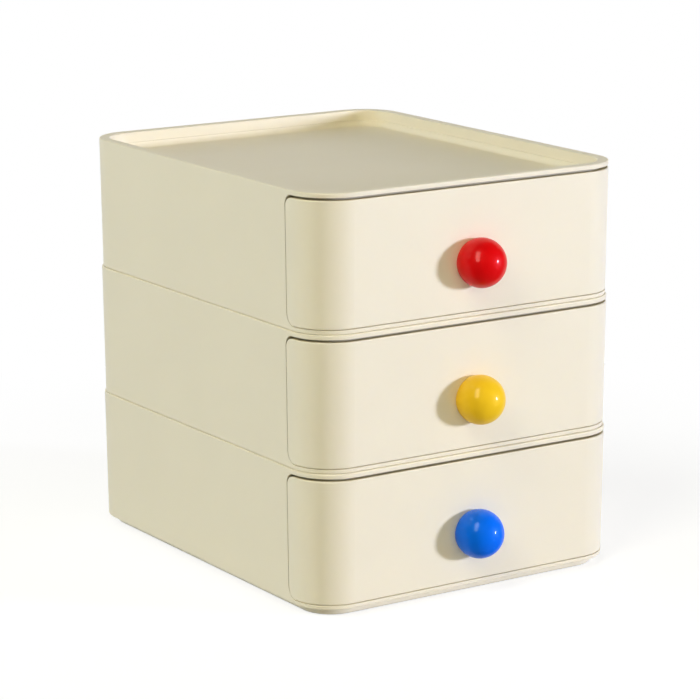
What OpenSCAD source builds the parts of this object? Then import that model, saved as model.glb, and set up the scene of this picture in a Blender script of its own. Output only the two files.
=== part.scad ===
// Desktop mini drawers: three stacking tiers, each a moulded housing with one pull-out drawer.
// X runs across, Y from the drawer fronts to the back, and Z up. The origin is on the table,
// under the middle of the whole, knobs included. Sizes are in millimetres and degrees.

/* [Overall] */
// Width over the rims
body_w = 150; // [130:1:200]
// Depth over the rims, without the knobs
body_d = 184; // [170:1:240]
// Height that each tier adds to the stack
tier_h = 55.5; // [48:0.5:80]
// Corner radius in plan, at the rims
corner_r = 18; // [16:0.5:24]
// How far each side leans in from a rim down to the lip below it
draft = 0.6; // [0.2:0.1:1.2]

/* [Housing] */
// Thickness of the side and back walls
wall = 2.3; // [1.8:0.1:3]
// Thickness of the bottom plate, whose edge is the lip under the drawer front
lip_h = 1.75; // [1.5:0.05:3]
// Thickness of the deck under the tray
deck_t = 2; // [1.5:0.1:3]
// Round on both edges of a rim
rim_edge_r = 0.6; // [0.3:0.05:0.75]
// Round on the lower edge of a lip
lip_edge_r = 0.5; // [0.2:0.05:0.8]

/* [Tray top] */
// Depth of the tray's floor below the rim
tray_depth = 7; // [6:0.1:9]
// Depth of the upright band inside the rim that the next plinth stands in
seat_depth = 4.5; // [4:0.1:5]
// Width of the step under that band
seat_step = 0.5; // [0.3:0.1:1]
// Thickness of the tray's wall behind the drawer front
tray_wall = 1.55; // [1.2:0.05:2.5]

/* [Plinth and feet] */
// Height of the plinth ring under each housing
plinth_h = 3.2; // [2.5:0.1:3.6]
// Thickness of the plinth ring
plinth_wall = 2; // [1.5:0.1:3]
// Round on the plinth's lower outer edge
plinth_edge_r = 0.5; // [0.2:0.1:0.8]
// Clearance of a plinth inside the rim below it
stack_gap = 0.3; // [0.3:0.05:0.6]
// Diameter of a rubber foot
pad_d = 10; // [7:0.5:12]
// Thickness of a rubber foot
pad_t = 1.8; // [1.2:0.1:2.5]
// How far a rubber foot stands below the plinth
pad_proud = 0.3; // [0.2:0.1:0.8]
// Clearance round a foot in its socket
pad_gap = 0.15; // [0.05:0.05:0.3]
// Thickness of the socket's wall round a foot
socket_wall = 1.85; // [1.2:0.05:2.5]

/* [Drawer front] */
// Thickness of the drawer front
front_t = 2.65; // [2:0.05:3.5]
// Length of the drawer front's ends along the housing's sides
wrap_l = 21.5; // [10:0.5:35]
// Height of the rim above the drawer front
rim_bar_h = 1.9; // [1.5:0.1:3]
// Gap between the rim and the drawer front
top_gap = 1.1; // [0.4:0.1:1.5]
// Gap between the drawer front and the lip
bottom_gap = 0.2; // [0.2:0.05:1]
// Gap behind the drawer front's ends
seam_gap = 0.4; // [0.3:0.05:1]
// Gap between the drawer front and the tray's wall
slot_gap = 0.4; // [0.3:0.05:1]
// Radius of the ends' upper corners, seen from the side
wrap_top_r = 4; // [1:0.5:8]
// Radius of the ends' lower corners, seen from the side
wrap_bottom_r = 5; // [1:0.5:10]
// Round on the drawer front's outer edges
front_edge_r = 0.5; // [0.2:0.05:0.8]

/* [Drawer tray] */
// Thickness of the drawer tray's walls
bin_wall = 1.8; // [1.4:0.1:2.5]
// Thickness of the drawer tray's floor
bin_floor = 1.8; // [1.4:0.1:2.5]
// Clearance between the drawer tray and the housing's sides
side_gap = 0.8; // [0.4:0.1:1.5]
// Clearance behind a closed drawer tray
back_gap = 1; // [0.5:0.1:3]
// Round on the drawer tray's lower outer edge
bin_bottom_r = 3; // [1:0.5:5]
// Round on both upper edges of the drawer tray's walls
bin_top_r = 0.6; // [0.2:0.1:0.65]
// Cove between the drawer tray's walls and floor
bin_cove_r = 2; // [0.5:0.5:4]

/* [Runners and stops] */
// Height of the runners that the drawer tray slides on
runner_h = 1; // [0.6:0.1:2]
// Width of a runner
runner_w = 3; // [2:0.5:6]
// Distance of a runner's middle from the housing's side
runner_inset = 26; // [22:1:40]
// How far a drawer pulls out
travel = 130; // [90:1:135]
// How far a stop hangs below the deck
stop_h = 2; // [1.4:0.1:3]
// Thickness of a stop
stop_t = 2; // [1.2:0.1:4]
// Width of a stop
stop_w = 14; // [8:1:20]
// Clearance between the stops and the drawer tray's walls
stop_clear = 0.7; // [0.4:0.1:1.5]
// Width of the tabs that catch on the stops
tab_w = 12; // [6:1:18]
// Clearance between the tabs and the deck
tab_gap = 0.5; // [0.3:0.1:0.8]
// Distance of a stop's middle from where the drawer tray's corner begins
stop_inset = 12; // [10:1:25]
// What is left between tabs and stops when a drawer is fully out
stop_slack = 0.3; // [0.2:0.1:1]

/* [Knob] */
// Diameter of the ball
knob_d = 20; // [16:0.5:24]
// Distance of the ball's middle in front of the drawer front
knob_stand = 4.5; // [3:0.5:6]
// Height of the knob's axis above the lip's lower edge
knob_z = 22.4; // [18:0.1:30]

/* [Knob fixing] */
// Outer diameter of the threaded insert
insert_d = 4.6; // [4.6:0.1:6]
// Length of the threaded insert
insert_l = 6; // [4:0.5:8]
// How deep the insert sits below the knob's flat
insert_sink = 0.3; // [0.1:0.1:1]
// Clearance round the insert
insert_gap = 0.05; // [0.02:0.01:0.1]
// Depth and width of the groove round the insert
insert_groove = 0.25; // [0.1:0.05:0.3]
// Nominal thread diameter of the screw
screw_d = 3; // [2:0.5:3]
// Length of the screw under its head
screw_l = 10; // [8:0.5:12]
// Least room past the screw's tip in the knob
tip_room = 0.5; // [0.2:0.1:1]
// Clearance between the screw's thread and the insert's thread, all round
thread_gap = 0.05; // [0.02:0.01:0.1]
// Clearance round the screw where it passes through the drawer, all round
screw_gap = 0.25; // [0.1:0.05:0.5]
// Diameter of the screw's pan head
head_d = 6; // [5.5:0.5:7]
// Height of the screw's pan head
head_h = 2; // [1.6:0.1:2.6]
// Width of the cross recess's slots
recess_w = 0.8; // [0.5:0.1:1.2]
// Length of the cross recess's slots
recess_l = 3.4; // [2.4:0.2:4]
// Depth of the cross recess
recess_depth = 1.1; // [0.6:0.1:1.3]
// Diameter of the washer
washer_d = 7; // [7:0.5:10]
// Thickness of the washer
washer_t = 0.5; // [0.3:0.1:1]
// Diameter of the pegs that locate the drawer front
peg_d = 3.5; // [2.5:0.5:5]
// Clearance round a peg
peg_gap = 0.15; // [0.05:0.05:0.3]
// Distance of a peg from where the drawer tray's corner begins
peg_inset = 10; // [8:1:20]
// Height of the lower pegs above the lip's lower edge
peg_low_z = 12; // [10:0.5:14]
// Height of the upper pegs above the lip's lower edge
peg_high_z = 34; // [28:0.5:36]

/* [Hidden] */

BOTTOM = 0;
MIDDLE = 1;
TOP = 2;

CREAM = "#F1EAD6";
RUBBER = "#8E8A82";
RED = "#D8141C";
YELLOW = "#F2BC1B";
BLUE = "#0B62DC";
BRASS = "#C8A24A";
STEEL = "#B9BCC0";

// Facets of the large rounds and of the small ones, in previews
large_fn = 96;
small_fn = 32;
// How far a cutter reaches past the face it opens, and how deep joined pieces are let in
over = 1;
let_in = 0.5;

slope = draft / tier_h;
tilt = atan(slope);
run_x = body_w / 2 - corner_r;
run_y = body_d / 2 - corner_r;

rim_w = front_t + slot_gap + tray_wall;
rim_inner_r = corner_r - rim_w;
tray_z = tier_h - tray_depth;
seat_z = tier_h - seat_depth;
deck_z = tray_z - deck_t;
cove_r = tray_depth - seat_depth;
cove_x = rim_inner_r - seat_step - cove_r;

plinth_r = rim_inner_r - stack_gap;
socket_r = pad_d / 2 + pad_gap + socket_wall;
socket_off = (plinth_r - plinth_wall / 2 - socket_r) * sqrt(0.5);
base_h = plinth_h + pad_proud;

front_z0 = lip_h + bottom_gap;
front_z1 = tier_h - rim_bar_h - top_gap;

bin_w = body_w - 2 * (wall + side_gap);
bin_d = body_d - front_t - wall - back_gap;
bin_y = (front_t - wall - back_gap) / 2;
bin_run_x = bin_w / 2 - corner_r;
bin_z0 = lip_h + runner_h;
bin_z1 = deck_z - stop_h - stop_clear;
bin_floor_z = bin_z0 + bin_floor;

tab_z1 = deck_z - tab_gap;
stop_x = bin_run_x - stop_inset;
peg_x = bin_run_x - peg_inset;
front_stack = front_t + bin_wall;
bore_l = max(insert_sink + insert_l, screw_l - front_stack - washer_t + tip_room);

// The knobs reach past the fronts, so the tiers stand back from the origin by half of that
knob_reach = knob_stand * cos(tilt) + knob_d / 2 - corner_r + skin(knob_z);
body_y = knob_reach / 2;

// Distance of the outer face from a corner's axis, at a height above the lip's lower edge
function skin(z) = corner_r - slope * max(0, tier_h - rim_edge_r - z);

// ---- Shared forms ----

// Turns and shifts its child to the k-th corner of a rectangle, counted from +X +Y
module at_corner(k, x, y) {
    rotate([0, 0, 90 * k]) translate(k % 2 == 0 ? [x, y, 0] : [y, x, 0]) children();
}

// Sweeps a section round a rectangle with round corners. The section's x is the distance from
// a corner's axis, and its y is the height. Runs start with the +X side.
module round_sweep(w, d, corners = [0:3], runs = [0:3]) {
    x = w / 2 - corner_r;
    y = d / 2 - corner_r;
    for (k = corners)
        at_corner(k, x, y) rotate_extrude(angle = 90, $fn = large_fn) children();
    for (k = runs)
        at_corner(k, x, y) rotate([90, 0, 0]) linear_extrude(2 * (k % 2 == 0 ? y : x)) children();
}

// What a round of radius r leaves off an outer corner that points along side
module corner_waste(corner, r, side) {
    translate([corner.x - side.x * r, corner.y - side.y * r]) difference() {
        translate([min(0, side.x * (r + over)), min(0, side.y * (r + over))]) square(r + over);
        circle(r, $fn = small_fn);
    }
}

// A quarter of a disc that hollows a cove out of a solid corner
module cove_waste(centre, r) {
    translate(centre) intersection() {
        circle(r, $fn = small_fn);
        translate([0, -r]) square(r);
    }
}

// A flat plate over the middle of a tier, let into the swept walls round it
module middle_plate(w, d, z, t) {
    translate([0, 0, z + t / 2])
        cube([w - 2 * corner_r + 2 * let_in, d - 2 * corner_r + 2 * let_in, t], center = true);
}

// Puts its children on a tier, with z = 0 at the lower edge of the tier's lip
module on_tier(tier) {
    translate([0, body_y, base_h + tier * tier_h]) children();
}

// Puts its children on a drawer's face with +Z pointing out of it, square to its lean
module on_face(x, z) {
    translate([x, skin(z) * -1 - run_y, z]) rotate([90 + tilt, 0, 0]) children();
}

// ---- Housing ----

module housing_section() {
    plinth_in = plinth_r - plinth_wall;
    lip_x = skin(lip_edge_r);
    difference() {
        polygon([
            [0, 0], [plinth_in, 0], [plinth_in, -plinth_h], [plinth_r, -plinth_h], [plinth_r, 0],
            [lip_x, 0], [lip_x, lip_edge_r], [corner_r, tier_h - rim_edge_r], [corner_r, tier_h],
            [rim_inner_r, tier_h], [rim_inner_r, seat_z], [cove_x, seat_z], [cove_x, tray_z],
            [0, tray_z], [0, deck_z], [skin(deck_z) - wall, deck_z],
            [skin(lip_h) - wall, lip_h], [0, lip_h]
        ]);
        corner_waste([plinth_r, -plinth_h], plinth_edge_r, [1, -1]);
        corner_waste([lip_x, 0], lip_edge_r, [1, -1]);
        corner_waste([corner_r, tier_h], rim_edge_r, [1, 1]);
        corner_waste([rim_inner_r, tier_h], rim_edge_r, [-1, 1]);
        cove_waste([cove_x, seat_z], cove_r);
    }
}

// Side view of what wraps round the front: open towards the front, with rounded rear corners
module wrap_outline(z0, z1, length, r_top, r_bottom) {
    y0 = -body_d / 2 - over;
    y1 = -body_d / 2 + length;
    difference() {
        translate([y0, z0]) square([y1 - y0, z1 - z0]);
        corner_waste([y1, z1], r_top, [1, 1]);
        corner_waste([y1, z0], r_bottom, [1, -1]);
    }
}

// Bends a section round the front and both front corners, as far back as the outline given
module wrap(z0, z1, length, r_top, r_bottom) {
    intersection() {
        rotate([90, 0, 90]) linear_extrude(body_w + 4 * over, center = true)
            wrap_outline(z0, z1, length, r_top, r_bottom);
        round_sweep(body_w, body_d, [2:3], [0, 2, 3]) children();
    }
}

// Room for the drawer front: it is cut out of the walls down to the tray's wall
module front_recess() {
    z1 = tier_h - rim_bar_h;
    depth = front_t + slot_gap;
    wrap(lip_h, z1, wrap_l + seam_gap, wrap_top_r + seam_gap, wrap_bottom_r + seam_gap)
        polygon([
            [skin(lip_h) - depth, lip_h], [corner_r + over, lip_h],
            [corner_r + over, z1], [skin(z1) - depth, z1]
        ]);
}

module at_feet() {
    for (k = [0:3])
        at_corner(k, run_x + socket_off, run_y + socket_off) translate([0, 0, -plinth_h]) children();
}

module runners() {
    y0 = -run_y;
    y1 = body_d / 2 - wall;
    for (side = [-1, 1])
        translate([side * (body_w / 2 - runner_inset) - runner_w / 2, y0, lip_h - let_in])
            cube([runner_w, y1 - y0, runner_h + let_in]);
}

// The stops hang where the drawer tray's tabs arrive when the drawer is fully out
module stops() {
    tab_y = bin_y + bin_d / 2 - corner_r + skin(tab_z1) - bin_wall;
    y1 = tab_y - travel - stop_slack;
    for (side = [-1, 1])
        translate([side * stop_x - stop_w / 2, y1 - stop_t, deck_z - stop_h])
            cube([stop_w, stop_t, stop_h + let_in]);
}

module housing() {
    color(CREAM) difference() {
        union() {
            round_sweep(body_w, body_d) housing_section();
            middle_plate(body_w, body_d, 0, lip_h);
            middle_plate(body_w, body_d, deck_z, deck_t);
            at_feet() cylinder(r = socket_r, h = plinth_h + let_in, $fn = large_fn);
            runners();
            stops();
        }
        front_recess();
        at_feet() translate([0, 0, -over])
            cylinder(r = pad_d / 2 + pad_gap, h = over + pad_t - pad_proud, $fn = large_fn);
    }
}

// ---- Feet ----

module rubber_feet() {
    edge_r = pad_proud;
    color(RUBBER) at_feet() translate([0, 0, -pad_proud]) rotate_extrude($fn = large_fn)
        difference() {
            square([pad_d / 2, pad_t]);
            corner_waste([pad_d / 2, 0], edge_r, [1, -1]);
        }
}

// ---- Drawer ----

module bin_section() {
    foot_x = skin(bin_z0 + bin_bottom_r);
    head_x = skin(bin_z1 - bin_top_r);
    cove_z = bin_floor_z + bin_cove_r;
    inner_x = skin(cove_z) - bin_wall;
    difference() {
        polygon([
            [0, bin_z0], [foot_x, bin_z0], [foot_x, bin_z0 + bin_bottom_r],
            [head_x, bin_z1 - bin_top_r], [head_x, bin_z1], [head_x - bin_wall, bin_z1],
            [head_x - bin_wall, bin_z1 - bin_top_r], [inner_x, cove_z],
            [inner_x - bin_cove_r, cove_z], [inner_x - bin_cove_r, bin_floor_z], [0, bin_floor_z]
        ]);
        corner_waste([foot_x, bin_z0], bin_bottom_r, [1, -1]);
        corner_waste([head_x, bin_z1], bin_top_r, [1, 1]);
        corner_waste([head_x - bin_wall, bin_z1], bin_top_r, [-1, 1]);
        cove_waste([inner_x - bin_cove_r, cove_z], bin_cove_r);
    }
}

// Tabs on the back wall stand up past the other walls and catch on the housing's stops
module tabs() {
    z0 = bin_z1 - 2 * bin_top_r;
    for (side = [-1, 1])
        translate([side * stop_x, bin_d / 2 - corner_r, 0]) rotate([90, 0, 90])
            linear_extrude(tab_w, center = true) polygon([
                [skin(z0) - bin_wall, z0], [skin(z0), z0],
                [skin(tab_z1), tab_z1], [skin(tab_z1) - bin_wall, tab_z1]
            ]);
}

module at_pegs() {
    for (x = [-peg_x, peg_x], z = [peg_low_z, peg_high_z])
        on_face(x, z) children();
}

module drawer_tray() {
    hole_h = bin_wall + 2 * over;
    color(CREAM) difference() {
        translate([0, bin_y, 0]) {
            round_sweep(bin_w, bin_d) bin_section();
            middle_plate(bin_w, bin_d, bin_z0, bin_floor);
            tabs();
        }
        on_face(0, knob_z) translate([0, 0, -front_stack - over])
            cylinder(r = screw_d / 2 + screw_gap, h = hole_h, $fn = small_fn);
        at_pegs() translate([0, 0, -front_stack - over])
            cylinder(r = peg_d / 2 + peg_gap, h = hole_h, $fn = small_fn);
    }
}

module front_section() {
    x0 = skin(front_z0 + front_edge_r);
    x1 = skin(front_z1 - front_edge_r);
    difference() {
        polygon([
            [skin(front_z0) - front_t, front_z0], [x0, front_z0], [x0, front_z0 + front_edge_r],
            [x1, front_z1 - front_edge_r], [x1, front_z1], [skin(front_z1) - front_t, front_z1]
        ]);
        corner_waste([x0, front_z0], front_edge_r, [1, -1]);
        corner_waste([x1, front_z1], front_edge_r, [1, 1]);
    }
}

module drawer_front() {
    color(CREAM) difference() {
        union() {
            wrap(front_z0, front_z1, wrap_l, wrap_top_r, wrap_bottom_r) front_section();
            at_pegs() translate([0, 0, -front_stack])
                cylinder(d = peg_d, h = bin_wall + let_in, $fn = small_fn);
        }
        on_face(0, knob_z) translate([0, 0, -front_stack])
            cylinder(r = screw_d / 2 + screw_gap, h = front_stack + over, $fn = small_fn);
    }
}

// ---- Knob and its fixing ----

module knob(shade) {
    color(shade) on_face(0, knob_z) difference() {
        translate([0, 0, knob_stand]) sphere(d = knob_d, $fn = large_fn);
        translate([0, 0, -knob_d / 2]) cube(knob_d, center = true);
        translate([0, 0, -over])
            cylinder(r = insert_d / 2 + insert_gap, h = over + bore_l, $fn = small_fn);
    }
}

module knob_insert() {
    bore_r = screw_d / 2 + thread_gap;
    color(BRASS) on_face(0, knob_z) translate([0, 0, insert_sink]) rotate_extrude($fn = large_fn)
        difference() {
            translate([bore_r, 0]) square([insert_d / 2 - bore_r, insert_l]);
            translate([insert_d / 2 - insert_groove, (insert_l - insert_groove) / 2])
                square([insert_groove + over, insert_groove]);
        }
}

module screw_washer() {
    color(STEEL) on_face(0, knob_z) translate([0, 0, -front_stack - washer_t]) difference() {
        cylinder(d = washer_d, h = washer_t, $fn = large_fn);
        translate([0, 0, -over])
            cylinder(r = screw_d / 2 + screw_gap, h = washer_t + 2 * over, $fn = small_fn);
    }
}

// Pan head screw with a cross recess, driven from inside the drawer tray
module knob_screw() {
    edge_r = head_h / 2;
    color(STEEL) on_face(0, knob_z) translate([0, 0, -front_stack - washer_t]) {
        cylinder(d = screw_d, h = screw_l, $fn = small_fn);
        difference() {
            rotate_extrude($fn = large_fn) difference() {
                translate([0, -head_h]) square([head_d / 2, head_h]);
                corner_waste([head_d / 2, -head_h], edge_r, [1, -1]);
            }
            for (turn = [0, 90])
                translate([0, 0, -head_h]) rotate([0, 0, turn])
                    cube([recess_l, recess_w, 2 * recess_depth], center = true);
        }
    }
}

// ---- The tiers' pieces ----

module housing_bottom() on_tier(BOTTOM) housing();
module rubber_feet_bottom() on_tier(BOTTOM) rubber_feet();
module drawer_tray_bottom() on_tier(BOTTOM) drawer_tray();
module drawer_front_bottom() on_tier(BOTTOM) drawer_front();
module knob_blue() on_tier(BOTTOM) knob(BLUE);
module knob_insert_bottom() on_tier(BOTTOM) knob_insert();
module screw_washer_bottom() on_tier(BOTTOM) screw_washer();
module knob_screw_bottom() on_tier(BOTTOM) knob_screw();

module housing_middle() on_tier(MIDDLE) housing();
module rubber_feet_middle() on_tier(MIDDLE) rubber_feet();
module drawer_tray_middle() on_tier(MIDDLE) drawer_tray();
module drawer_front_middle() on_tier(MIDDLE) drawer_front();
module knob_yellow() on_tier(MIDDLE) knob(YELLOW);
module knob_insert_middle() on_tier(MIDDLE) knob_insert();
module screw_washer_middle() on_tier(MIDDLE) screw_washer();
module knob_screw_middle() on_tier(MIDDLE) knob_screw();

module housing_top() on_tier(TOP) housing();
module rubber_feet_top() on_tier(TOP) rubber_feet();
module drawer_tray_top() on_tier(TOP) drawer_tray();
module drawer_front_top() on_tier(TOP) drawer_front();
module knob_red() on_tier(TOP) knob(RED);
module knob_insert_top() on_tier(TOP) knob_insert();
module screw_washer_top() on_tier(TOP) screw_washer();
module knob_screw_top() on_tier(TOP) knob_screw();

housing_bottom();
rubber_feet_bottom();
drawer_tray_bottom();
drawer_front_bottom();
knob_blue();
knob_insert_bottom();
screw_washer_bottom();
knob_screw_bottom();
housing_middle();
rubber_feet_middle();
drawer_tray_middle();
drawer_front_middle();
knob_yellow();
knob_insert_middle();
screw_washer_middle();
knob_screw_middle();
housing_top();
rubber_feet_top();
drawer_tray_top();
drawer_front_top();
knob_red();
knob_insert_top();
screw_washer_top();
knob_screw_top();
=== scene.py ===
import math

import bmesh
import bpy
from mathutils import Matrix, Vector


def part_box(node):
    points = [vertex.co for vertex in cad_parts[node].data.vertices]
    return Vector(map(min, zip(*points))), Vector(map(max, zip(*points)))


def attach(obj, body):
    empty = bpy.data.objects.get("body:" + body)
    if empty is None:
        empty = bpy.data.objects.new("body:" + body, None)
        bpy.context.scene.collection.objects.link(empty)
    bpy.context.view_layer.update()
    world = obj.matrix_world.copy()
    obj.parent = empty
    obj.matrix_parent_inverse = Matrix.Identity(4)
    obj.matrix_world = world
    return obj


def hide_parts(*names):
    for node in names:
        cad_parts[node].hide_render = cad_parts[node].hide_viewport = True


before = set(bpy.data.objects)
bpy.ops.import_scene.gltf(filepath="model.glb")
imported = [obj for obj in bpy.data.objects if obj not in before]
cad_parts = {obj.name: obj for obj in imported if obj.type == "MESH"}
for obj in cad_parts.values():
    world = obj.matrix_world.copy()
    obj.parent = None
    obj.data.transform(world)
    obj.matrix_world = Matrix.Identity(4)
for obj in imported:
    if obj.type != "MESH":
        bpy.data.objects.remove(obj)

bl_info = {
    "name": "Desktop mini drawers",
    "version": (1, 0, 0),
    "blender": (4, 5, 0),
    "location": "View3D > Sidebar > Drawers",
    "description": "Finishes for three stacking drawer tiers and the metal parts in their knobs",
    "category": "Object",
}

MM = 0.001
TIERS = ("bottom", "middle", "top")
KNOBS = {"bottom": "knob_blue", "middle": "knob_yellow", "top": "knob_red"}

# Each tier leans in by its draft over its height
DRAFT, TIER_HEIGHT = 0.6 * MM, 55.5 * MM
FACE_LEAN = math.atan(DRAFT / TIER_HEIGHT)
OUT_OF_FACE = Vector((0, -math.cos(FACE_LEAN), -math.sin(FACE_LEAN)))


def linear(code):
    """Turns an sRGB hex colour to the linear values that shaders and lamps use."""
    values = [int(code[i:i + 2], 16) / 255 for i in (1, 3, 5)]
    return [v / 12.92 if v <= 0.04045 else ((v + 0.055) / 1.055) ** 2.4 for v in values]


# ---- What a user would change ----

class MouldingFinish(bpy.types.PropertyGroup):
    cream: bpy.props.FloatVectorProperty(
        name="Cream", description="Colour of the housings, drawer trays and drawer fronts",
        default=linear("#F3EAD1"), size=3, min=0, max=1, subtype="COLOR")
    grain: bpy.props.FloatProperty(
        name="Grain", description="Width of the grain that the eroded tool leaves",
        default=0.45 * MM, min=0.1 * MM, max=2 * MM, subtype="DISTANCE", unit="LENGTH")
    edge: bpy.props.FloatProperty(
        name="Edge", description="Width of the rubbed band along the edges",
        default=0.35 * MM, min=0.05 * MM, max=1 * MM, subtype="DISTANCE", unit="LENGTH")
    roughness: bpy.props.FloatProperty(
        name="Roughness", description="How satin the mouldings are",
        default=0.43, min=0.2, max=0.8, subtype="FACTOR")
    # Painted shade: how dark the narrow joints are painted
    joint_shade: bpy.props.FloatProperty(
        name="Joint shade", description="How dark the dust makes the narrow joints",
        default=0.62, min=0, max=1, subtype="FACTOR")


class KnobFinish(bpy.types.PropertyGroup):
    top: bpy.props.FloatVectorProperty(
        name="Top knob", description="Colour of the top drawer's knob",
        default=linear("#E4060A"), size=3, min=0, max=1, subtype="COLOR")
    middle: bpy.props.FloatVectorProperty(
        name="Middle knob", description="Colour of the middle drawer's knob",
        default=linear("#FBCB22"), size=3, min=0, max=1, subtype="COLOR")
    bottom: bpy.props.FloatVectorProperty(
        name="Bottom knob", description="Colour of the bottom drawer's knob",
        default=linear("#0470F8"), size=3, min=0, max=1, subtype="COLOR")


class FixingSizes(bpy.types.PropertyGroup):
    screw_d: bpy.props.FloatProperty(
        name="Screw", description="Nominal thread diameter of the knob screws",
        default=3 * MM, min=2 * MM, max=3 * MM, subtype="DISTANCE", unit="LENGTH")
    screw_l: bpy.props.FloatProperty(
        name="Screw length", description="Length of the knob screws under the head",
        default=10 * MM, min=8 * MM, max=12 * MM, subtype="DISTANCE", unit="LENGTH")
    pitch: bpy.props.FloatProperty(
        name="Pitch", description="Thread pitch of the screws and inserts",
        default=0.5 * MM, min=0.35 * MM, max=0.7 * MM, subtype="DISTANCE", unit="LENGTH")
    thread_gap: bpy.props.FloatProperty(
        name="Thread gap", description="Clearance between the two threads, all round",
        default=0.05 * MM, min=0.02 * MM, max=0.1 * MM, subtype="DISTANCE", unit="LENGTH")
    head_d: bpy.props.FloatProperty(
        name="Head", description="Diameter of the pan head",
        default=6 * MM, min=5.5 * MM, max=7 * MM, subtype="DISTANCE", unit="LENGTH")
    head_h: bpy.props.FloatProperty(
        name="Head height", description="Height of the pan head",
        default=2 * MM, min=1.6 * MM, max=2.6 * MM, subtype="DISTANCE", unit="LENGTH")
    insert_d: bpy.props.FloatProperty(
        name="Insert", description="Diameter of the threaded inserts over the knurl",
        default=4.6 * MM, min=4.6 * MM, max=6 * MM, subtype="DISTANCE", unit="LENGTH")
    insert_l: bpy.props.FloatProperty(
        name="Insert length", description="Length of the threaded inserts",
        default=6 * MM, min=4 * MM, max=8 * MM, subtype="DISTANCE", unit="LENGTH")


class StageSettings(bpy.types.PropertyGroup):
    floor: bpy.props.FloatProperty(
        name="Floor", description="Reach of the floor from the middle",
        default=8, min=1, max=20, subtype="DISTANCE", unit="LENGTH")
    key: bpy.props.FloatVectorProperty(
        name="Key lamp", description="Light of the small round lamp at the front right",
        default=(0.65, 0.69, 0.89), size=3, min=0, max=4, subtype="COLOR")
    strip: bpy.props.FloatVectorProperty(
        name="Soft strip", description="Light of the narrow soft lamp at the upper left",
        default=(0.34, 0.325, 0.262), size=3, min=0, max=4, subtype="COLOR")
    glint: bpy.props.FloatVectorProperty(
        name="Glint", description="Light of the small near lamp that only gloss shows",
        default=(0.78, 0.74, 0.64), size=3, min=0, max=4, subtype="COLOR")
    front: bpy.props.FloatVectorProperty(
        name="Front panel", description="Light of the broad soft panel over the camera",
        default=(0.21, 0.19, 0.118), size=3, min=0, max=4, subtype="COLOR")
    side: bpy.props.FloatVectorProperty(
        name="Side panel", description="Light of the broad panel at the left and behind",
        default=(0.35, 0.39, 0.425), size=3, min=0, max=4, subtype="COLOR")
    back: bpy.props.FloatVectorProperty(
        name="Back panel", description="Light of the broad panel at the right and behind",
        default=(0.26, 0.26, 0.245), size=3, min=0, max=4, subtype="COLOR")
    ambient: bpy.props.FloatVectorProperty(
        name="Surroundings", description="Light from all round",
        default=(0.065, 0.06, 0.05), size=3, min=0, max=1, subtype="COLOR")


# ---- Materials ----

# Widths of patterns, in the millimetres that the materials work in
ABS_FLOW, ABS_PATCHES, ABS_JOINT = 35, 9, 3
LACQUER_WAVE, LACQUER_HAZE, KNOB_FLOW = 2.5, 1.5, 8
RUBBER_BLOOM, BRASS_LINES, BRASS_TARNISH, ZINC_CLOUDS = 2, 0.25, 1.2, 0.8
# How far apart the wave texture's own lines are, at a scale of 1
WAVE_SPACING = math.tau / 20
FOOT_GREY, BRASS, ZINC = "#8E8A82", "#C8A24A", "#B9BCC0"
# Heights of patterns
GRAIN_HEIGHT, WAVE_HEIGHT, BLOOM_HEIGHT = 0.02 * MM, 0.02 * MM, 0.05 * MM
LINE_HEIGHT, CLOUD_HEIGHT = 0.01 * MM, 0.01 * MM
# Cosine of the normal's turn where an edge begins to look rubbed, and where it is fully so
EDGE_FROM, EDGE_FULL = 0.97, 0.8
# How much paler, as a share, and how much smoother a rubbed edge is
EDGE_PALER, EDGE_SMOOTHER = 0.025, 0.1
# How open a joint is, as a share of all round, where the painted shade begins and where it is full
SHADE_OPEN, SHADE_SHUT = 0.48, 0.2
# How far up a face looks (the upward part of its normal) where the painted shade begins and where
# it is full, and its colour. The housings get a dark painted shade on upright faces in their
# joints, and the drawers get a paler one on their upper edges.
HOUSING_PAINTED_SHADE = (0.7, 0.4, "#6A5C38")
DRAWER_PAINTED_SHADE = (0.4, 0.8, "#A08A30")
# How much the roughness of the mouldings varies with handling
HANDLED = 0.05
ABS_IOR, LACQUER_IOR = 1.5, 1.5
# How deep each colour of light gets into cream ABS, as shares of a millimetre
ABS_DEPTHS = (1.0, 0.85, 0.55)
# The share of the knobs' sheen that is white
SHEEN_WHITE = 0.12


def add(tree, kind, feeds=None, **settings):
    """Adds a node with its settings. Each feed is a value, or the socket that is linked in."""
    node = tree.nodes.new(kind)
    for name, value in settings.items():
        setattr(node, name, value)
    for name, value in (feeds or {}).items():
        if isinstance(value, bpy.types.NodeSocket):
            tree.links.new(value, node.inputs[name])
        else:
            node.inputs[name].default_value = value
    return node


def begin(name):
    """Starts a material. Gives it, its nodes, its surface shader and object coordinates in mm."""
    material = bpy.data.materials.new(name)
    material.use_nodes = True
    tree = material.node_tree
    tree.nodes.clear()
    shader = add(tree, "ShaderNodeBsdfPrincipled")
    add(tree, "ShaderNodeOutputMaterial", {"Surface": shader.outputs["BSDF"]})
    place = add(tree, "ShaderNodeTexCoord")
    mm = add(tree, "ShaderNodeVectorMath",
             {0: place.outputs["Object"], 1: [1 / MM] * 3}, operation="MULTIPLY")
    return material, tree, shader, mm.outputs["Vector"]


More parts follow.
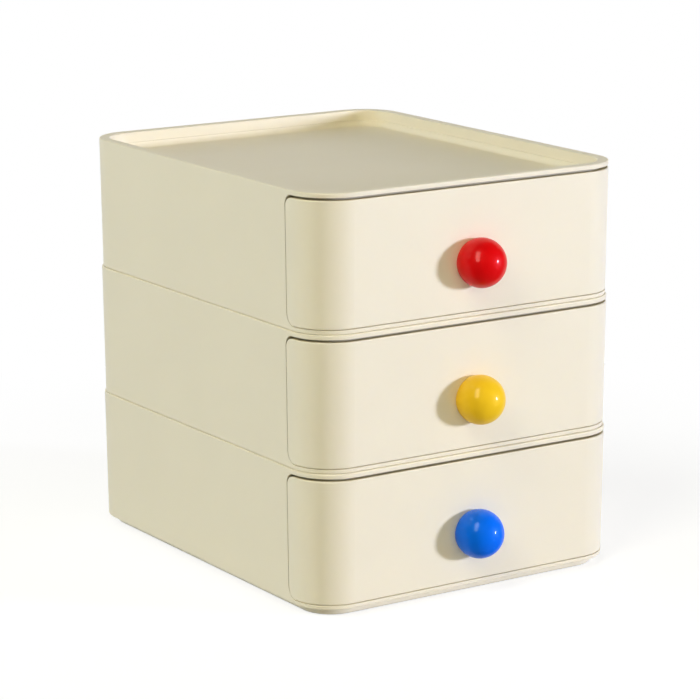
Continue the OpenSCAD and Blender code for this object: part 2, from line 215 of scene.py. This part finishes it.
def satin_moulded_abs(finish, name, painted_shade_from, painted_shade_to, painted_shade_code):
    """ABS from a spark-eroded tool. The eye gets a soft even sheen over a fine grain, edges that
    handling has rubbed a little smoother and paler, a faint unevenness of the colour, and painted
    shade in narrow joints, which darkens the colour and takes the sheen away. The painted shade, of
    the colour painted_shade_code, begins on faces that look up as much as painted_shade_from says,
    and is full at painted_shade_to."""
    material, tree, shader, mm = begin(name)
    # The real grain is about 0.05 mm wide. It is drawn nine times as coarse, so that it shows.
    grain = add(tree, "ShaderNodeTexNoise",
                {"Vector": mm, "Scale": MM / finish.grain, "Detail": 2.0, "Roughness": 0.6})
    # Melt that flows into a tool sets a little unevenly, over some 35 mm
    flow = add(tree, "ShaderNodeTexNoise", {"Vector": mm, "Scale": 1 / ABS_FLOW, "Detail": 2.0})
    # Handling leaves soft patches about 9 mm wide
    patches = add(tree, "ShaderNodeTexNoise",
                  {"Vector": mm, "Scale": 1 / ABS_PATCHES, "Detail": 3.0})
    rounded = add(tree, "ShaderNodeBevel", {"Radius": finish.edge}, samples=4)
    geometry = add(tree, "ShaderNodeNewGeometry")
    turn = add(tree, "ShaderNodeVectorMath",
               {0: rounded.outputs["Normal"], 1: geometry.outputs["Normal"]},
               operation="DOT_PRODUCT")
    edges = add(tree, "ShaderNodeMapRange",
                {"Value": turn.outputs["Value"], "From Min": EDGE_FROM, "From Max": EDGE_FULL})
    tone = add(tree, "ShaderNodeMapRange",
               {"Value": flow.outputs["Fac"], "To Min": 0.98, "To Max": 1.02})
    lighter = add(tree, "ShaderNodeMath",
                  {0: edges.outputs["Result"], 1: EDGE_PALER, 2: tone.outputs["Result"]},
                  operation="MULTIPLY_ADD")
    # A joint is narrow where something stands within 3 mm on nearly all sides, and there the colour
    # gets painted shade
    opening = add(tree, "ShaderNodeAmbientOcclusion", {"Distance": ABS_JOINT * MM}, samples=8)
    facing = add(tree, "ShaderNodeSeparateXYZ", {"Vector": geometry.outputs["Normal"]})
    faces_shaded = add(tree, "ShaderNodeMapRange",
                {"Value": facing.outputs["Z"], "From Min": painted_shade_from, "From Max": painted_shade_to})
    shut = add(tree, "ShaderNodeMapRange",
               {"Value": opening.outputs["AO"], "From Min": SHADE_OPEN, "From Max": SHADE_SHUT})
    amount = add(tree, "ShaderNodeMath", {0: shut.outputs["Result"], 1: faces_shaded.outputs["Result"]},
                 operation="MULTIPLY")
    # Painted shade: how far the colour is darkened towards the shade colour, and its sheen taken
    # away
    painted_shade = add(tree, "ShaderNodeMath", {0: amount.outputs["Value"], 1: finish.joint_shade},
                operation="MULTIPLY")
    unshaded = add(tree, "ShaderNodeHueSaturation",
                {"Value": lighter.outputs["Value"], "Color": [*finish.cream, 1]})
    colour = add(tree, "ShaderNodeMixRGB",
                 {"Fac": painted_shade.outputs["Value"], "Color1": unshaded.outputs["Color"],
                  "Color2": (*linear(painted_shade_code), 1)})
    handled = add(tree, "ShaderNodeMapRange",
                  {"Value": patches.outputs["Fac"], "To Min": finish.roughness - HANDLED,
                   "To Max": finish.roughness + HANDLED})
    rubbed = add(tree, "ShaderNodeMath",
                 {0: edges.outputs["Result"], 1: -EDGE_SMOOTHER, 2: handled.outputs["Result"]},
                 operation="MULTIPLY_ADD")
    bump = add(tree, "ShaderNodeBump",
               {"Height": grain.outputs["Fac"], "Normal": rounded.outputs["Normal"],
                "Strength": 0.25, "Distance": GRAIN_HEIGHT})
    tree.links.new(colour.outputs["Color"], shader.inputs["Base Color"])
    tree.links.new(rubbed.outputs["Value"], shader.inputs["Roughness"])
    tree.links.new(bump.outputs["Normal"], shader.inputs["Normal"])
    # The eroded grain shades itself at a low angle, which takes about two fifths of what the
    # plastic reflects (a level of 0.5 is all of it), and the painted shade takes the rest of the
    # sheen away in the joints
    sheen = add(tree, "ShaderNodeMapRange",
                {"Value": painted_shade.outputs["Value"], "To Min": 0.3, "To Max": 0.0})
    tree.links.new(sheen.outputs["Result"], shader.inputs["Specular IOR Level"])
    shader.inputs["IOR"].default_value = ABS_IOR
    # Light enters pale ABS about a millimetre deep and softens its small shadows
    shader.inputs["Subsurface Weight"].default_value = 0.15
    shader.inputs["Subsurface Radius"].default_value = ABS_DEPTHS
    shader.inputs["Subsurface Scale"].default_value = 1 * MM
    return material


def gloss_moulded_abs(name, colour):
    """ABS from a polished tool, lacquered. The eye gets deep even colour with a broad soft sheen
    under a clear thin reflection, which the shrinking melt has made very slightly wavy, and the
    hairline scratches of handling."""
    material, tree, shader, mm = begin(name)
    # Shrinkage leaves a wave of about 2.5 mm
    wave = add(tree, "ShaderNodeTexNoise",
               {"Vector": mm, "Scale": 1 / LACQUER_WAVE, "Detail": 0.0})
    # Scratches are some 0.01 mm wide. Their haze is drawn in patches of 1.5 mm, so that it shows.
    haze = add(tree, "ShaderNodeTexNoise",
               {"Vector": mm, "Scale": 1 / LACQUER_HAZE, "Detail": 4.0})
    # The melt sets a little unevenly, over some 8 mm
    flow = add(tree, "ShaderNodeTexNoise", {"Vector": mm, "Scale": 1 / KNOB_FLOW, "Detail": 1.0})
    tone = add(tree, "ShaderNodeMapRange",
               {"Value": flow.outputs["Fac"], "To Min": 0.97, "To Max": 1.03})
    shade = add(tree, "ShaderNodeHueSaturation",
                {"Value": tone.outputs["Result"], "Color": [*colour, 1]})
    gloss = add(tree, "ShaderNodeMapRange",
                {"Value": haze.outputs["Fac"], "To Min": 0.05, "To Max": 0.08})
    bump = add(tree, "ShaderNodeBump",
               {"Height": wave.outputs["Fac"], "Strength": 0.06, "Distance": WAVE_HEIGHT})
    tree.links.new(shade.outputs["Color"], shader.inputs["Base Color"])
    tree.links.new(gloss.outputs["Result"], shader.inputs["Coat Roughness"])
    tree.links.new(bump.outputs["Normal"], shader.inputs["Normal"])
    tree.links.new(bump.outputs["Normal"], shader.inputs["Coat Normal"])
    shader.inputs["IOR"].default_value = ABS_IOR
    # Under the lacquer some broad sheen is left, in a paler tone of the plastic
    shader.inputs["Specular IOR Level"].default_value = 0.25
    paler = [SHEEN_WHITE + (1 - SHEEN_WHITE) * math.sqrt(share) for share in colour]
    shader.inputs["Specular Tint"].default_value = (*paler, 1)
    shader.inputs["Roughness"].default_value = 0.42
    # The lacquer is thin and finely scratched, and reflects a fifth of what a full coat does
    shader.inputs["Coat Weight"].default_value = 0.2
    shader.inputs["Coat IOR"].default_value = LACQUER_IOR
    return material


def moulded_rubber(code):
    """Thermoplastic rubber, moulded. The eye gets a dull grey with a dusty, uneven bloom."""
    material, tree, shader, mm = begin("moulded_rubber")
    # The bloom gathers in patches about 2 mm wide
    bloom = add(tree, "ShaderNodeTexNoise",
                {"Vector": mm, "Scale": 1 / RUBBER_BLOOM, "Detail": 4.0})
    tone = add(tree, "ShaderNodeMapRange",
               {"Value": bloom.outputs["Fac"], "To Min": 0.88, "To Max": 1.12})
    shade = add(tree, "ShaderNodeHueSaturation",
                {"Value": tone.outputs["Result"], "Color": [*linear(code), 1]})
    dull = add(tree, "ShaderNodeMapRange",
               {"Value": bloom.outputs["Fac"], "To Min": 0.75, "To Max": 0.9})
    bump = add(tree, "ShaderNodeBump",
               {"Height": bloom.outputs["Fac"], "Strength": 0.3, "Distance": BLOOM_HEIGHT})
    tree.links.new(shade.outputs["Color"], shader.inputs["Base Color"])
    tree.links.new(dull.outputs["Result"], shader.inputs["Roughness"])
    tree.links.new(bump.outputs["Normal"], shader.inputs["Normal"])
    return material


def turned_brass(code):
    """Free-cutting brass, turned and knurled. The eye gets fine tool lines round the axis."""
    material, tree, shader, mm = begin("turned_brass")
    # Tool lines are 0.05 mm apart along the axis, and are drawn 0.25 mm apart, so that they show
    lines = add(tree, "ShaderNodeTexWave",
                {"Vector": mm, "Scale": WAVE_SPACING / BRASS_LINES, "Distortion": 0.3,
                 "Detail": 2.0},
                wave_type="BANDS", bands_direction="Y")
    # Tarnish gathers in patches about 1.2 mm wide
    tarnish = add(tree, "ShaderNodeTexNoise",
                  {"Vector": mm, "Scale": 1 / BRASS_TARNISH, "Detail": 3.0})
    tone = add(tree, "ShaderNodeMapRange",
               {"Value": tarnish.outputs["Fac"], "To Min": 0.85, "To Max": 1.05})
    shade = add(tree, "ShaderNodeHueSaturation",
                {"Value": tone.outputs["Result"], "Color": [*linear(code), 1]})
    worn = add(tree, "ShaderNodeMapRange",
               {"Value": tarnish.outputs["Fac"], "To Min": 0.22, "To Max": 0.4})
    bump = add(tree, "ShaderNodeBump",
               {"Height": lines.outputs["Fac"], "Strength": 0.3, "Distance": LINE_HEIGHT})
    tree.links.new(shade.outputs["Color"], shader.inputs["Base Color"])
    tree.links.new(worn.outputs["Result"], shader.inputs["Roughness"])
    tree.links.new(bump.outputs["Normal"], shader.inputs["Normal"])
    shader.inputs["Metallic"].default_value = 1.0
    return material


def zinc_plated_steel(code):
    """Cold-headed steel, zinc plated and passivated. The eye gets a cool, slightly cloudy shine."""
    material, tree, shader, mm = begin("zinc_plated_steel")
    # Plating crystals are far below 0.1 mm. Their clouding is drawn 0.8 mm wide, so that it shows.
    cloud = add(tree, "ShaderNodeTexNoise", {"Vector": mm, "Scale": 1 / ZINC_CLOUDS, "Detail": 4.0})
    tone = add(tree, "ShaderNodeMapRange",
               {"Value": cloud.outputs["Fac"], "To Min": 0.9, "To Max": 1.06})
    shade = add(tree, "ShaderNodeHueSaturation",
                {"Value": tone.outputs["Result"], "Color": [*linear(code), 1]})
    dull = add(tree, "ShaderNodeMapRange",
               {"Value": cloud.outputs["Fac"], "To Min": 0.28, "To Max": 0.45})
    bump = add(tree, "ShaderNodeBump",
               {"Height": cloud.outputs["Fac"], "Strength": 0.2, "Distance": CLOUD_HEIGHT})
    tree.links.new(shade.outputs["Color"], shader.inputs["Base Color"])
    tree.links.new(dull.outputs["Result"], shader.inputs["Roughness"])
    tree.links.new(bump.outputs["Normal"], shader.inputs["Normal"])
    shader.inputs["Metallic"].default_value = 1.0
    return material


def dress(names, material):
    """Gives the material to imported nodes."""
    for name in names:
        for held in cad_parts[name].material_slots:
            held.material = material


# ---- Small metal parts ----

# Points round a turned part, and rings for each turn of its thread. The knurl has half as many
# teeth as there are points.
ROUND = 36
RINGS_PER_TURN = 6
# Depth of a metric thread, as a share of its pitch
THREAD_DEPTH = 0.613
# How sharply the crest of a drawn thread rises and falls over its pitch
THREAD_SLOPE = 2.4
# Turns over which the screw's thread runs out under the head and fades at the tip, and over which
# the insert's stands back at each mouth
RUN_OUT_TURNS, TIP_TURNS, MOUTH_TURNS = 2, 1, 0.5
# The insert: depth of its knurl, the bevel at its ends, the width and depth of the groove round
# its middle, and how far the knurl takes to rise
KNURL_DEPTH, LEAD, GROOVE, RISE = 0.12 * MM, 0.3 * MM, 0.25 * MM, 0.05 * MM
# Edges that turn more than this stay sharp
CREASE = math.radians(35)
# The pan head: steps over its dome, the upright share of its height, how square its shoulder is,
# and the small bevel under it
DOME_STEPS, UPRIGHT_SHARE, SHOULDER = 8, 0.4, 0.7
HEAD_BEVEL = 0.15 * MM
# The cross recess: length and width of its wings, depth, and how far they narrow to the point
RECESS_LENGTH, RECESS_WIDTH, RECESS_DEPTH = 3.4 * MM, 0.8 * MM, 1.1 * MM
RECESS_TAPER = 0.55


def skin(name, rings, ring_shaped=False):
    """Skins rings of ROUND points. The ends are capped, or joined for a ring-shaped part."""
    form = bmesh.new()
    rows = [[form.verts.new(point) for point in ring] for ring in rings]
    for lower, upper in zip(rows, rows[1:] + rows[:1] if ring_shaped else rows[1:]):
        for i in range(ROUND):
            j = (i + 1) % ROUND
            form.faces.new((lower[i], lower[j], upper[j], upper[i]))
    if not ring_shaped:
        form.faces.new(rows[0][::-1])
        form.faces.new(rows[-1])
    bmesh.ops.recalc_face_normals(form, faces=form.faces)
    mesh = bpy.data.meshes.new(name)
    form.to_mesh(mesh)
    form.free()
    return mesh


def ring(radius, z):
    """Points round the axis at height z. The radius is a length or a function of the angle."""
    turns = [i / ROUND for i in range(ROUND)]
    reach = radius if callable(radius) else lambda turn: radius
    return [(reach(t) * math.cos(math.tau * t), reach(t) * math.sin(math.tau * t), z)
            for t in turns]


def thread(sizes, z, gap=0.0, height=1.0):
    """The radius of the thread at height z, over the angle. Height fades the thread out."""
    depth = THREAD_DEPTH * sizes.pitch
    root = sizes.screw_d / 2 - depth

    def reach(turn):
        phase = (z / sizes.pitch - turn) % 1
        return root + gap + depth * height * min(1, THREAD_SLOPE * (0.5 - abs(phase - 0.5)))
    return reach


def finish_mesh(mesh, material):
    """Smooth shading up to the crease angle, and the one material."""
    mesh.shade_smooth()
    mesh.set_sharp_from_angle(angle=CREASE)
    mesh.materials.clear()
    mesh.materials.append(material)


def cut(mesh, cutter):
    """Takes the cutter's mesh out of a mesh and gives the result."""
    body = bpy.data.objects.new("body", mesh)
    tool = bpy.data.objects.new("tool", cutter)
    for each in (body, tool):
        bpy.context.collection.objects.link(each)
    modifier = body.modifiers.new("cut", "BOOLEAN")
    modifier.operation, modifier.solver, modifier.object = "DIFFERENCE", "EXACT", tool
    seen = body.evaluated_get(bpy.context.evaluated_depsgraph_get())
    result = bpy.data.meshes.new_from_object(seen)
    for each in (body, tool):
        bpy.data.objects.remove(each)
    return result


def cross_recess(top, bottom, length, width, taper):
    """A plus-shaped punch whose wings narrow towards its point."""
    form = bmesh.new()
    rows = []
    for z, share in ((top, 1), (bottom, taper)):
        a, b = length / 2 * share, width / 2 * share ** 0.5
        outline = [(a, -b), (a, b), (b, b), (b, a), (-b, a), (-b, b),
                   (-a, b), (-a, -b), (-b, -b), (-b, -a), (b, -a), (b, -b)]
        rows.append([form.verts.new((x, y, z)) for x, y in outline])
    count = len(rows[0])
    for i in range(count):
        j = (i + 1) % count
        form.faces.new((rows[0][i], rows[0][j], rows[1][j], rows[1][i]))
    form.faces.new(rows[0][::-1])
    form.faces.new(rows[1])
    bmesh.ops.recalc_face_normals(form, faces=form.faces)
    mesh = bpy.data.meshes.new("recess")
    form.to_mesh(mesh)
    form.free()
    return mesh


def pan_head_screw(sizes):
    """A knob screw along +Z. The head's bearing face is at z = 0."""
    rings = []
    for i in range(1, DOME_STEPS + 1):
        a = math.pi / 2 * i / DOME_STEPS
        radius = sizes.head_d / 2 * math.sin(a) ** SHOULDER
        z = -sizes.head_h * (UPRIGHT_SHARE + (1 - UPRIGHT_SHARE) * math.cos(a))
        rings.append(ring(radius, z))
    rings.append(ring(sizes.head_d / 2, -HEAD_BEVEL))
    rings.append(ring(sizes.head_d / 2 - HEAD_BEVEL, 0))
    step = sizes.pitch / RINGS_PER_TURN
    count = round(sizes.screw_l / step)
    for i in range(count + 1):
        z = i * step
        height = min(1, z / (RUN_OUT_TURNS * sizes.pitch),
                     (sizes.screw_l - z) / (TIP_TURNS * sizes.pitch))
        rings.append(ring(thread(sizes, z, height=max(0, height)), z))
    punch = cross_recess(-sizes.head_h - RECESS_DEPTH, -sizes.head_h + RECESS_DEPTH,
                         RECESS_LENGTH, RECESS_WIDTH, RECESS_TAPER)
    return cut(skin("pan_head_screw", rings), punch)


def threaded_insert(sizes, start):
    """An insert along +Z that begins at start, with its thread in step with the screw's."""
    outer = sizes.insert_d / 2
    inner = sizes.screw_d / 2 + sizes.thread_gap
    middle = sizes.insert_l / 2

    def knurl(offset):
        return lambda t: outer - KNURL_DEPTH * (round(t * ROUND + offset) % 2)

    shape = [(0, outer - LEAD), (LEAD, outer - KNURL_DEPTH),
             (LEAD + RISE, knurl(0)), (middle - GROOVE / 2 - RISE, knurl(0)),
             (middle - GROOVE / 2, outer - GROOVE), (middle + GROOVE / 2, outer - GROOVE),
             (middle + GROOVE / 2 + RISE, knurl(1)), (sizes.insert_l - LEAD - RISE, knurl(1)),
             (sizes.insert_l - LEAD, outer - KNURL_DEPTH), (sizes.insert_l, outer - LEAD)]
    rings = [ring(radius, start + z) for z, radius in shape]
    step = sizes.pitch / RINGS_PER_TURN
    count = round(sizes.insert_l / step)
    for i in range(count, -1, -1):
        z = start + i * step
        away = min(i, count - i) * step
        # The mouths are countersunk, so the thread stands back there
        fade = max(0, 1 - away / (MOUTH_TURNS * sizes.pitch))
        reach = thread(sizes, z, gap=sizes.thread_gap)
        rings.append(ring(lambda t, r=reach, f=fade: r(t) + f * (inner - r(t)), z))
    return skin("threaded_insert", rings, ring_shaped=True)


def place_on_face(mesh, origin):
    """Turns a mesh whose +Z is the fixing's axis out of the drawer face, from its origin."""
    turn = Matrix.Rotation(math.radians(90) + FACE_LEAN, 4, "X")
    mesh.transform(Matrix.Translation(origin) @ turn)


def bearing_face(tier):
    """Where the screw's axis meets the washer's inner face."""
    low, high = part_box("screw_washer_" + tier)
    centre = (low + high) / 2
    # A tilted disc's box is thickness * cos + diameter * sin deep, so the thickness follows
    across = high.x - low.x
    deep = (high.y - low.y - across * math.sin(FACE_LEAN)) / math.cos(FACE_LEAN)
    return centre - OUT_OF_FACE * deep / 2


def stand_for(mesh, name, node, tier):
    """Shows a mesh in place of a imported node, on the same drawer."""
    piece = bpy.data.objects.new(name, mesh)
    bpy.context.collection.objects.link(piece)
    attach(piece, tier + "_drawer")
    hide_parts(node)


# ---- Operators ----

class DRAWERS_OT_mouldings(bpy.types.Operator):
    """Finish the housings, drawer trays and drawer fronts"""
    bl_idname = "drawers.mouldings"
    bl_label = "Finish mouldings"

    def execute(self, context):
        finish = context.scene.drawers_moulding
        # Both mouldings are painted darker in their narrow joints, as painted shade
        housing = satin_moulded_abs(finish, "satin_moulded_abs", *HOUSING_PAINTED_SHADE)
        drawer = satin_moulded_abs(finish, "satin_moulded_abs_drawer", *DRAWER_PAINTED_SHADE)
        dress(["housing_" + tier for tier in TIERS], housing)
        for kind in ("drawer_tray_", "drawer_front_"):
            dress([kind + tier for tier in TIERS], drawer)
        return {"FINISHED"}


class DRAWERS_OT_knobs(bpy.types.Operator):
    """Finish the three ball knobs"""
    bl_idname = "drawers.knobs"
    bl_label = "Finish knobs"

    def execute(self, context):
        for tier, node in KNOBS.items():
            shade = getattr(context.scene.drawers_knobs, tier)
            dress([node], gloss_moulded_abs("gloss_moulded_abs_" + tier, shade))
        return {"FINISHED"}


class DRAWERS_OT_feet(bpy.types.Operator):
    """Finish the rubber feet"""
    bl_idname = "drawers.feet"
    bl_label = "Finish feet"

    def execute(self, context):
        dress(["rubber_feet_" + tier for tier in TIERS], moulded_rubber(FOOT_GREY))
        return {"FINISHED"}


class DRAWERS_OT_screws(bpy.types.Operator):
    """Finish the washers and make the knob screws"""
    bl_idname = "drawers.screws"
    bl_label = "Make screws and washers"

    def execute(self, context):
        steel = zinc_plated_steel(ZINC)
        dress(["screw_washer_" + tier for tier in TIERS], steel)
        for tier in TIERS:
            mesh = pan_head_screw(context.scene.drawers_fixing)
            finish_mesh(mesh, steel)
            place_on_face(mesh, bearing_face(tier))
            stand_for(mesh, "pan_head_screw_" + tier, "knob_screw_" + tier, tier)
        return {"FINISHED"}


class DRAWERS_OT_inserts(bpy.types.Operator):
    """Make the threaded inserts in the knobs"""
    bl_idname = "drawers.inserts"
    bl_label = "Make inserts"

    def execute(self, context):
        sizes = context.scene.drawers_fixing
        brass = turned_brass(BRASS)
        for tier in TIERS:
            origin = bearing_face(tier)
            low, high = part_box("knob_insert_" + tier)
            middle = ((low + high) / 2 - origin).dot(OUT_OF_FACE)
            mesh = threaded_insert(sizes, middle - sizes.insert_l / 2)
            finish_mesh(mesh, brass)
            place_on_face(mesh, origin)
            stand_for(mesh, "threaded_insert_" + tier, "knob_insert_" + tier, tier)
        return {"FINISHED"}


# Where the camera stands: azimuth, elevation and roll in degrees, distance in metres
CAMERA_AZIMUTH, CAMERA_ELEVATION, CAMERA_ROLL = -33.1745, 13.3148, -0.1574
CAMERA_DISTANCE = 1.2448
CAMERA_TARGET = Vector((0, 0.00707, 0.0763))
LENS, SENSOR = 150.7, 36
SHIFT = (0.00243, 0.0226)
# The share of its light that the floor gives to the stack, the share that it shows, what it
# shows besides, and how far from the middle it begins to turn white and is white, in metres
FLOOR_GIVES, FLOOR_SHOWS, FLOOR_LIFT = 0.64, 0.4, 0.75
SWEEP_FROM, SWEEP_WHITE = 0.14, 0.36
# The flags' distance, height, and turns round the stack in degrees, and where the one on the
# floor begins in front of the stack
FLAG_DISTANCE, FLAG_HEIGHT = 3.6, 6.0
FLAG_TURNS = (-150, -120, -90, -60, -30, 0, 30, 60, 90, 120)
FLAG_LIFT, FLAG_NEAR = 0.0005, 0.09
# The least light of a lamp, so that one that is turned off still has a colour
DIMMEST = 1e-6
# Each lamp's direction as seen from the object, its distance in metres, its shape, its width and
# height in metres, and whether it lights matt surfaces and shows in gloss
LAMPS = {
    "key": (Vector((0.684, -0.721, 0.112)), 3.0, "DISK", 0.4, 0.4, True, True),
    "strip": (Vector((-0.597, -0.331, 0.730)), 3.0, "RECTANGLE", 0.9, 1.65, True, False),
    "glint": (Vector((-0.557, -0.545, 0.626)), 0.5, "RECTANGLE", 0.15, 0.36, False, True),
    "front": (Vector((-0.1, -0.88, 0.46)), 3.0, "RECTANGLE", 2.6, 2.0, True, False),
    "side": (Vector((-0.85, 0.4, 0.35)), 3.0, "RECTANGLE", 2.0, 1.6, True, False),
    "back": (Vector((0.55, 0.82, 0.14)), 3.0, "RECTANGLE", 2.0, 0.8, True, False),
}


def lamp(name, light):
    """An area lamp that faces the middle of the stack. A light of 1 shows a colour as it is."""
    direction, distance, shape, width, height, matt, glossy = LAMPS[name]
    data = bpy.data.lights.new(name, "AREA")
    data.shape, data.size = shape, width
    if shape == "RECTANGLE":
        data.size_y = height
    strongest = max(*light, DIMMEST)
    data.color = [share / strongest for share in light]
    data.energy = strongest * (math.pi * distance) ** 2
    lamp_object = bpy.data.objects.new(name, data)
    bpy.context.collection.objects.link(lamp_object)
    lamp_object.location = CAMERA_TARGET + direction.normalized() * distance
    lamp_object.rotation_mode = "QUATERNION"
    lamp_object.rotation_quaternion = (-direction).to_track_quat("-Z", "Y")
    lamp_object.visible_camera = False
    lamp_object.visible_diffuse = matt
    lamp_object.visible_glossy = glossy


def seen_rays(tree):
    """1 for rays from the camera, and for those in reflections and through clear things."""
    path = add(tree, "ShaderNodeLightPath")
    either = add(tree, "ShaderNodeMath", {0: path.outputs["Is Camera Ray"],
                                          1: path.outputs["Is Glossy Ray"]}, operation="MAXIMUM")
    return add(tree, "ShaderNodeMath", {0: either.outputs["Value"],
                                        1: path.outputs["Is Transmission Ray"]},
               operation="MAXIMUM").outputs["Value"]


def make_world(fill):
    """White to look at, and an even fill light for the rest."""
    world = bpy.data.worlds.new("surroundings")
    bpy.context.scene.world = world
    world.use_nodes = True
    tree = world.node_tree
    tree.nodes.clear()
    colour = add(tree, "ShaderNodeMixRGB",
                 {"Fac": seen_rays(tree), "Color1": (*fill, 1), "Color2": (1, 1, 1, 1)})
    light = add(tree, "ShaderNodeBackground", {"Color": colour.outputs["Color"]})
    add(tree, "ShaderNodeOutputWorld", {"Surface": light.outputs["Background"]})


def stage_piece(name, corners, material):
    """A flat piece of the stage between four corners."""
    form = bmesh.new()
    form.faces.new([form.verts.new(corner) for corner in corners])
    mesh = bpy.data.meshes.new(name)
    form.to_mesh(mesh)
    form.free()
    mesh.materials.append(material)
    piece = bpy.data.objects.new(name, mesh)
    bpy.context.collection.objects.link(piece)
    return piece


def white_painted_board():
    """The floor's paint. It reads white and keeps the shadow of what stands on it, and further
    off it turns to plain white, as a sweep does."""
    material = bpy.data.materials.new("white_painted_board")
    material.use_nodes = True
    tree = material.node_tree
    tree.nodes.clear()
    seen = seen_rays(tree)
    albedo = add(tree, "ShaderNodeMapRange",
                 {"Value": seen, "To Min": FLOOR_GIVES, "To Max": FLOOR_SHOWS})
    paint = add(tree, "ShaderNodeBsdfDiffuse", {"Color": albedo.outputs["Result"]})
    lift = add(tree, "ShaderNodeMath", {0: seen, 1: FLOOR_LIFT}, operation="MULTIPLY")
    glow = add(tree, "ShaderNodeEmission", {"Strength": lift.outputs["Value"]})
    near = add(tree, "ShaderNodeAddShader",
               {0: paint.outputs["BSDF"], 1: glow.outputs["Emission"]})
    place = add(tree, "ShaderNodeTexCoord")
    away = add(tree, "ShaderNodeVectorMath", {0: place.outputs["Object"]}, operation="LENGTH")
    far = add(tree, "ShaderNodeMapRange",
              {"Value": away.outputs["Value"], "From Min": SWEEP_FROM, "From Max": SWEEP_WHITE},
              interpolation_type="SMOOTHSTEP")
    plain = add(tree, "ShaderNodeMath", {0: far.outputs["Result"], 1: seen}, operation="MULTIPLY")
    white = add(tree, "ShaderNodeEmission", {"Strength": 1.0})
    both = add(tree, "ShaderNodeMixShader",
               {"Fac": plain.outputs["Value"], 1: near.outputs["Shader"],
                2: white.outputs["Emission"]})
    add(tree, "ShaderNodeOutputMaterial", {"Surface": both.outputs["Shader"]})
    return material


def make_floor(reach):
    """A pale floor under the whole stage."""
    corners = [(x * reach, y * reach, 0) for x, y in ((-1, -1), (1, -1), (1, 1), (-1, 1))]
    stage_piece("floor", corners, white_painted_board())


def black_velvet():
    """The flags' cloth. It gives nothing back, so that gloss shows dark where a flag stands."""
    material = bpy.data.materials.new("black_velvet")
    material.use_nodes = True
    tree = material.node_tree
    tree.nodes.clear()
    cloth = add(tree, "ShaderNodeBsdfDiffuse", {"Color": (*linear("#1A1815"), 1)})
    add(tree, "ShaderNodeOutputMaterial", {"Surface": cloth.outputs["BSDF"]})
    return material


def make_flags():
    """Flags round the camera's side that keep gloss from paling. Only reflections show them."""
    cloth = black_velvet()
    up, out = FLAG_HEIGHT, FLAG_DISTANCE
    ends = [Vector((math.sin(math.radians(a)), -math.cos(math.radians(a)), 0)) * out
            for a in FLAG_TURNS]
    rise = Vector((0, 0, up))
    flags = [stage_piece("flag_%d" % i, (a, b, b + rise, a + rise), cloth)
             for i, (a, b) in enumerate(zip(ends, ends[1:]))]
    for name, reach, z in (("floor_flag", -FLAG_NEAR, FLAG_LIFT), ("top_flag", out, up)):
        corners = [(-out, -out, z), (out, -out, z), (out, reach, z), (-out, reach, z)]
        flags.append(stage_piece(name, corners, cloth))
    for flag in flags:
        flag.visible_camera = False
        flag.visible_diffuse = False
        flag.visible_transmission = False
        flag.visible_shadow = False


def make_camera():
    """The camera at the product's three-quarter view."""
    data = bpy.data.cameras.new("camera")
    data.lens, data.sensor_width = LENS, SENSOR
    data.shift_x, data.shift_y = SHIFT
    camera = bpy.data.objects.new("camera", data)
    bpy.context.collection.objects.link(camera)
    a, e = math.radians(CAMERA_AZIMUTH), math.radians(CAMERA_ELEVATION)
    back = Vector((math.sin(a) * math.cos(e), -math.cos(a) * math.cos(e), math.sin(e)))
    camera.location = CAMERA_TARGET + back * CAMERA_DISTANCE
    look = (-back).to_track_quat("-Z", "Y").to_matrix().to_4x4()
    roll = Matrix.Rotation(math.radians(CAMERA_ROLL), 4, "Z")
    camera.rotation_mode = "QUATERNION"
    camera.rotation_quaternion = (look @ roll).to_quaternion()
    bpy.context.scene.camera = camera


class DRAWERS_OT_stage(bpy.types.Operator):
    """Set the floor, the surroundings, the lamps and the camera"""
    bl_idname = "drawers.stage"
    bl_label = "Set the stage"

    def execute(self, context):
        stage = context.scene.drawers_stage
        context.scene.view_settings.view_transform = "Standard"
        make_world(stage.ambient)
        make_floor(stage.floor)
        make_flags()
        for name in LAMPS:
            lamp(name, getattr(stage, name))
        make_camera()
        return {"FINISHED"}


OPERATORS = (DRAWERS_OT_mouldings, DRAWERS_OT_knobs, DRAWERS_OT_feet, DRAWERS_OT_screws,
             DRAWERS_OT_inserts, DRAWERS_OT_stage)
SETTINGS = {"drawers_moulding": MouldingFinish, "drawers_knobs": KnobFinish,
            "drawers_fixing": FixingSizes, "drawers_stage": StageSettings}


class DRAWERS_PT_sidebar(bpy.types.Panel):
    """Sizes, colours and the steps that make the drawers"""
    bl_idname = "DRAWERS_PT_sidebar"
    bl_label = "Desktop mini drawers"
    bl_space_type = "VIEW_3D"
    bl_region_type = "UI"
    bl_category = "Drawers"

    def draw(self, context):
        for name, group in SETTINGS.items():
            column = self.layout.column()
            for key in group.__annotations__:
                column.prop(getattr(context.scene, name), key)
        for operator in OPERATORS:
            self.layout.operator(operator.bl_idname)


def register():
    """Registers the settings, the operators and the panel."""
    for group in (*SETTINGS.values(), *OPERATORS, DRAWERS_PT_sidebar):
        bpy.utils.register_class(group)
    for name, group in SETTINGS.items():
        setattr(bpy.types.Scene, name, bpy.props.PointerProperty(type=group))


def unregister():
    """Takes back what register does."""
    for name in SETTINGS:
        delattr(bpy.types.Scene, name)
    for group in (DRAWERS_PT_sidebar, *OPERATORS, *SETTINGS.values()):
        bpy.utils.unregister_class(group)


def main():
    """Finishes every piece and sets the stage."""
    register()
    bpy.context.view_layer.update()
    bpy.ops.drawers.mouldings()
    bpy.ops.drawers.knobs()
    bpy.ops.drawers.feet()
    bpy.ops.drawers.screws()
    bpy.ops.drawers.inserts()
    bpy.ops.drawers.stage()
    bpy.context.view_layer.update()


if __name__ == "__main__":
    main()
